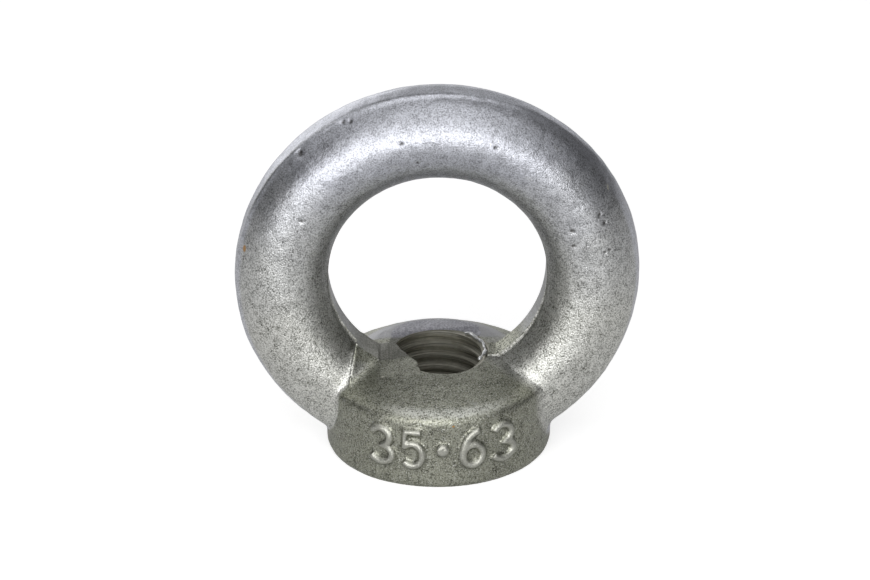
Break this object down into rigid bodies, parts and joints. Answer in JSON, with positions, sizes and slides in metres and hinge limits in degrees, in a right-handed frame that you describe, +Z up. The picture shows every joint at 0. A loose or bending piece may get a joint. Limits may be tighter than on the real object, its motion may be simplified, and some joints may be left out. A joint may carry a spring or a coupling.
{
  "type": "lifting eye nut",
  "caption": "Forged lifting eye nut: a round ring standing on a round flat-seated foot that is tapped for a metric screw; a hook or shackle goes through the ring.",
  "frame": {"origin": "centre of the flat seating face under the foot, on the thread's axis", "axes": "+Z up the thread's axis from the seat to the ring; the ring stands in the XZ plane, and the eye runs through along Y; the front is -Y"},
  "size_m": [0.063, 0.035, 0.0606],
  "materials": {
    "forged_steel": "shot-blasted drop-forged steel with a thin zinc coat, grainy silver-grey"
  },
  "bodies": {
    "root": {"eye_nut": "forged_steel"}
  },
  "joints": []
}
